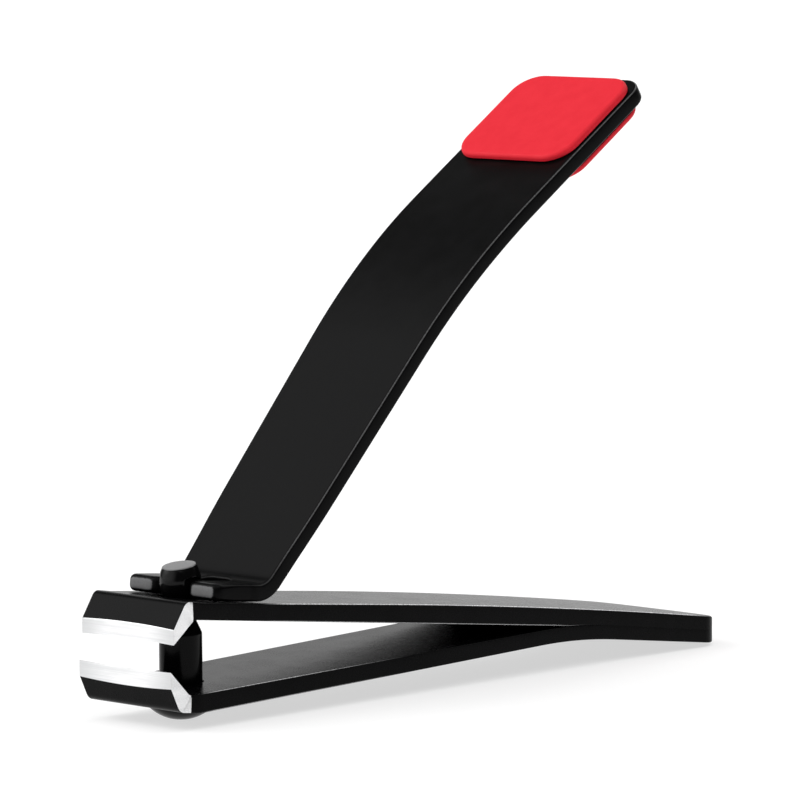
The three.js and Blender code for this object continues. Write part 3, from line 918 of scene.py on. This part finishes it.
def ground_steel(tree, place, edge_x, facet_x):
    """Bare steel of a lip: where it shows, its colour, its roughness and its relief. It is the
    hollow front, at edge_x, and the side facets, from there to facet_x."""
    at = split(tree, place)
    aside = math_node(tree, "ABSOLUTE", at["Y"])
    facet = times(tree, span(tree, aside, GROUND_HALF_WIDTH - 0.012, GROUND_HALF_WIDTH - 0.004),
                  span(tree, at["X"], facet_x + 0.02, facet_x - 0.02))
    share = math_node(tree, "DIVIDE", aside, GROUND_HALF_WIDTH)
    hollow = math_node(tree, "SUBTRACT", 1.0, math_node(tree, "POWER", share, 2.0))
    front_x = math_node(tree, "MULTIPLY_ADD", hollow, EDGE_HOLLOW, edge_x)
    front = span(tree, math_node(tree, "SUBTRACT", at["X"], front_x), 0.035, 0.02)
    # grinding lines run across the front bands, and every way on the small side facets
    lines = noise(tree, rest_place(tree, (0.2, 0.07, 11.0)), 1.0, 4.0, 0.7)
    swirl = noise(tree, rest_place(tree, (3.0, 1.0, 7.0), (0, 0.5, 0)), 1.6, 3.0, 0.6)
    broad = noise(tree, rest_place(tree, (0.2, 0.2, 0.9)), 1.0, 2.0, 0.5)
    grind = mix_number(tree, facet, lines, swirl)
    lined = blended(tree, grind, broad, 0.4)
    steel = mix_colour(tree, span(tree, lined, 0.36, 0.6), (0.71, 0.715, 0.72),
                       (0.90, 0.90, 0.905))
    # painted shade: the front bands grow darker towards both ends of each cutting edge
    painted_end_shade = times(tree, front, span(tree, aside, 2.5, 7.0, 0.0, 0.75, "SMOOTHSTEP"))
    steel = mix_colour(tree, painted_end_shade, steel, (0.55, 0.555, 0.56))
    return (math_node(tree, "MAXIMUM", facet, front), steel,
            span(tree, lined, 0.36, 0.64, 0.40, 0.30), grind)


def coated_steel(name, dark, light, rough_low, rough_high, specular, grain=1.0, ground=None,
                 cut=None, crest_power=3.0, crest_tone=0.30, crest_share=0.6, crest_metal=0.7,
                 wear_and_highlight_span=()):
    """Black coating with a fine tooth, thinner and shinier along the rolled edges, whose crests
    carry a light metallic line, partly rubbed-through coating and partly painted highlight.
    ground is (edge x, facet end x) of a leaf, whose lip is ground bright. cut is (outward
    direction, distance, colour) of a sheared end face. The crest values set how narrow, how
    light, how strong and how metallic that line is, and the last argument holds pairs (x
    without the line, x with all of it) that limit where along the part the painted highlight
    shows."""
    mat, tree, shader = new_material(name)
    place = rest_place(tree)
    fine = noise(tree, place, 5.5 * grain, 3.0, 0.65)
    tooth = noise(tree, place, 13.0 * grain, 2.0, 0.6)
    cloud = noise(tree, place, 0.35, 2.0, 0.5)
    edge = edge_crest(tree)
    crest = math_node(tree, "POWER", edge, crest_power)
    # the crest line: partly rubbed-through coating, partly painted highlight along the edges
    wear_and_highlight = math_node(tree, "MULTIPLY", crest, span(tree, fine, 0.2, 0.6, 0.35, 1.0), clamp=True)
    for none_at, full_at in wear_and_highlight_span:
        wear_and_highlight = times(tree, wear_and_highlight, span(tree, split(tree, place)["X"], none_at, full_at))
    tone = blended(tree, fine, cloud, 0.4)
    colour = mix_colour(tree, span(tree, tone, 0.38, 0.62), dark, light)
    # painted highlight: the crest line's light grey laid over the coating
    colour = mix_colour(tree, times(tree, wear_and_highlight, crest_share), colour,
                        (crest_tone, crest_tone, crest_tone * 1.01))
    metal = times(tree, wear_and_highlight, crest_metal)
    rough = span(tree, tone, 0.36, 0.64, rough_low, rough_high)
    if cut is not None:
        colour, rough = cut_face(tree, place, fine, colour, rough, *cut)
    rough = math_node(tree, "SUBTRACT", rough, times(tree, edge, 0.06))
    height = blended(tree, fine, tooth, 0.3)
    strength = 0.25
    if ground is not None:
        bright, steel, steel_rough, grind = ground_steel(tree, place, *ground)
        colour = mix_colour(tree, bright, colour, steel)
        metal = math_node(tree, "MAXIMUM", bright, metal)
        rough = mix_number(tree, bright, rough, steel_rough)
        height = mix_number(tree, bright, height, grind)
        strength = 0.18
    shader.inputs["Specular IOR Level"].default_value = specular
    finish(tree, shader, colour, metal, rough, bump(tree, height, strength))
    return mat


def rubber(name, base, deep):
    """Soft moulded rubber: fine matt tooth, a faint mottle, and dust-dulled rims."""
    mat, tree, shader = new_material(name)
    place = rest_place(tree)
    fine = noise(tree, place, 9.0, 3.0, 0.6)
    mottle = noise(tree, place, 0.5, 2.0, 0.5)
    tone = blended(tree, fine, mottle, 0.6)
    colour = mix_colour(tree, span(tree, tone, 0.36, 0.64), deep, base)
    colour = mix_colour(tree, times(tree, edge_crest(tree), 0.25), colour, deep)
    shader.inputs["Specular IOR Level"].default_value = 0.16
    finish(tree, shader, colour, None, span(tree, tone, 0.36, 0.64, 0.62, 0.5),
           bump(tree, fine, 0.2))
    return mat


def film(name):
    """Double-sided adhesive film, slightly uneven where it was pressed down."""
    mat, tree, shader = new_material(name)
    tone = noise(tree, rest_place(tree), 1.6, 4.0, 0.6)
    colour = mix_colour(tree, span(tree, tone, 0.35, 0.65), (0.46, 0.44, 0.38),
                        (0.62, 0.60, 0.54))
    finish(tree, shader, colour, None, span(tree, tone, 0.35, 0.65, 0.35, 0.55),
           bump(tree, tone, 0.3, 0.00003))
    return mat


BLACK, WORN_BLACK = (0.0012, 0.0012, 0.0013), (0.0028, 0.0028, 0.003)
POST_BLACK, WORN_POST_BLACK = (0.001, 0.001, 0.0011), (0.0024, 0.0024, 0.0026)
RED, DEEP_RED = (0.70, 0.0135, 0.028), (0.665, 0.0125, 0.026)
fork_slope = math.atan(UPPER_FALL)
# the prongs' end faces are painted light grey, a painted reflection of the studio light on them
PRONG_CUT = ((-math.cos(fork_slope), 0, math.sin(fork_slope)), 2.827, (0.17, 0.17, 0.172))
HEAD_CUT = ((-math.sin(HEAD_TILT), 0, math.cos(HEAD_TILT)), HEAD_TOP * math.cos(HEAD_TILT),
            (0.15, 0.15, 0.153))
HEAD_FINISH_FROM = 12.4

# the leaves' crest lines are painted light and fully metallic as a highlight, and the spans along x set
# where each part's painted highlight fades out
upper_finish = coated_steel("upper_leaf_coating", BLACK, WORN_BLACK, 0.24, 0.29, 0.04,
                            crest_tone=0.8, crest_share=1.0, crest_metal=1.0,
                            wear_and_highlight_span=((5, 9), (77, 72)), ground=(UPPER_EDGE_X, UPPER_GROUND_END))
lower_finish = coated_steel("lower_leaf_coating", BLACK, WORN_BLACK, 0.24, 0.29, 0.04,
                            crest_tone=0.6, crest_share=1.0, crest_metal=1.0,
                            wear_and_highlight_span=((-4, -2), (27, 10)), ground=(LOWER_EDGE_X, LOWER_GROUND_END))
lever_finish = coated_steel("lever_coating", BLACK, WORN_BLACK, 0.28, 0.36, 0.045,
                            cut=PRONG_CUT, crest_power=12.0, wear_and_highlight_span=((4, 10),))
post_finish = coated_steel("post_coating", POST_BLACK, WORN_POST_BLACK, 0.13, 0.19, 0.07,
                           grain=1.3, cut=HEAD_CUT)
head_finish = coated_steel("post_head_coating", POST_BLACK, WORN_POST_BLACK, 0.10, 0.15, 0.15,
                           grain=1.3, crest_tone=0.6, cut=HEAD_CUT)
for obj, coat in ((upper_jaw, upper_finish), (lower_jaw, lower_finish),
                  (lever_strip, lever_finish), (post_turned, post_finish)):
    obj.data.materials.clear()
    obj.data.materials.append(coat)
# the barrel head is polished by the fork that turns under it
post_turned.data.materials.append(head_finish)
for face in post_turned.data.polygons:
    face.material_index = int(face.center.z > HEAD_FINISH_FROM * MM)
for key, obj in pieces.items():
    is_pad = key.startswith("pad")
    obj.data.materials.append(rubber(key + "_rubber", RED, DEEP_RED) if is_pad
                              else film(key + "_film"))


# ---------------------------------------------------------------- what rides on what

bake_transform(upper_jaw, "lower_jaw_body", "upper_jaw_body", start=(0.062, 0, 0.005),
         end=(0.036, 0, 0.008))
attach(lower_jaw, "lower_jaw_body")
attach(post_turned, "post_body")
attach(lever_strip, "lever_body")
for obj in pieces.values():
    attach(obj, "lever_body")
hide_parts("upper_jaw")
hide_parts("lower_jaw")
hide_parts("pivot_post")
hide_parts("lever")
for key, obj in pieces.items():
    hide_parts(key)


# ---------------------------------------------------------------- floor, light and camera

def floor():
    """White paper that glows a little, just under what stands on it."""
    mesh = bpy.data.meshes.new("floor")
    bm = bmesh.new()
    bmesh.ops.create_grid(bm, x_segments=8, y_segments=8, size=30.0)
    bm.to_mesh(mesh)
    bm.free()
    obj = bpy.data.objects.new("floor", mesh)
    obj.location.z = cad_low.z - 0.00002
    scene.collection.objects.link(obj)
    mat, _, shader = new_material("floor_paper")
    shader.inputs["Base Color"].default_value = (0.42, 0.42, 0.42, 1)
    shader.inputs["Emission Color"].default_value = (1, 1, 1, 1)
    shader.inputs["Emission Strength"].default_value = 0.62
    shader.inputs["Roughness"].default_value = 0.9
    shader.inputs["Specular IOR Level"].default_value = 0.1
    mesh.materials.append(mat)


def overhead():
    sun = bpy.data.objects.new("overhead", bpy.data.lights.new("overhead", "SUN"))
    sun.data.energy = 1.5
    sun.data.angle = math.radians(75)
    sun.rotation_euler = (math.radians(12), math.radians(-14), 0)
    scene.collection.objects.link(sun)


STUDIO_LEVEL = 0.08
# each soft bright patch of the studio: its direction, the cosines at its edge and core, and
# its strength
GLOWS = [((0.7, 0.7, 0.12), 0.72, 0.97, 0.9), ((-0.85, 0.5, 0.30), 0.55, 0.98, 1.5),
         ((0.72, -0.1, 0.68), 0.86, 0.99, 1.7), ((-0.45, 0.6, 0.66), 0.85, 0.985, 2.0)]


def studio():
    world = bpy.data.worlds.new("studio")
    scene.world = world
    world.use_nodes = True
    tree = world.node_tree
    tree.nodes.clear()
    direction = tree.nodes.new("ShaderNodeTexCoord").outputs["Generated"]
    light = STUDIO_LEVEL
    for centre, start, full, strength in GLOWS:
        facing = toward(tree, direction, Vector(centre).normalized())
        glow = span(tree, facing, start, full, 0.0, strength, "SMOOTHSTEP")
        light = math_node(tree, "ADD", light, glow)
    background = tree.nodes.new("ShaderNodeBackground")
    background.inputs["Color"].default_value = (1, 1, 1, 1)
    tree.links.new(light, background.inputs["Strength"])
    output = tree.nodes.new("ShaderNodeOutputWorld")
    tree.links.new(background.outputs[0], output.inputs[0])


def camera():
    obj = bpy.data.objects.new("camera", bpy.data.cameras.new("camera"))
    obj.data.sensor_width = 36
    obj.data.lens = 246.272625
    obj.data.clip_start, obj.data.clip_end = 0.05, 100
    right = Vector((0.68540, -0.72816, -0.00436))
    up = Vector((0.07883, 0.06824, 0.99455))
    ahead = Vector((0.72389, 0.68200, -0.10417))
    turn = Matrix((right, up, -ahead)).transposed().to_4x4()
    place = Vector((-400.72855, -409.54139, 93.66516)) * MM
    obj.matrix_world = Matrix.Translation(place) @ turn
    scene.collection.objects.link(obj)
    scene.camera = obj


floor()
overhead()
studio()
camera()
scene.view_settings.view_transform = "Standard"
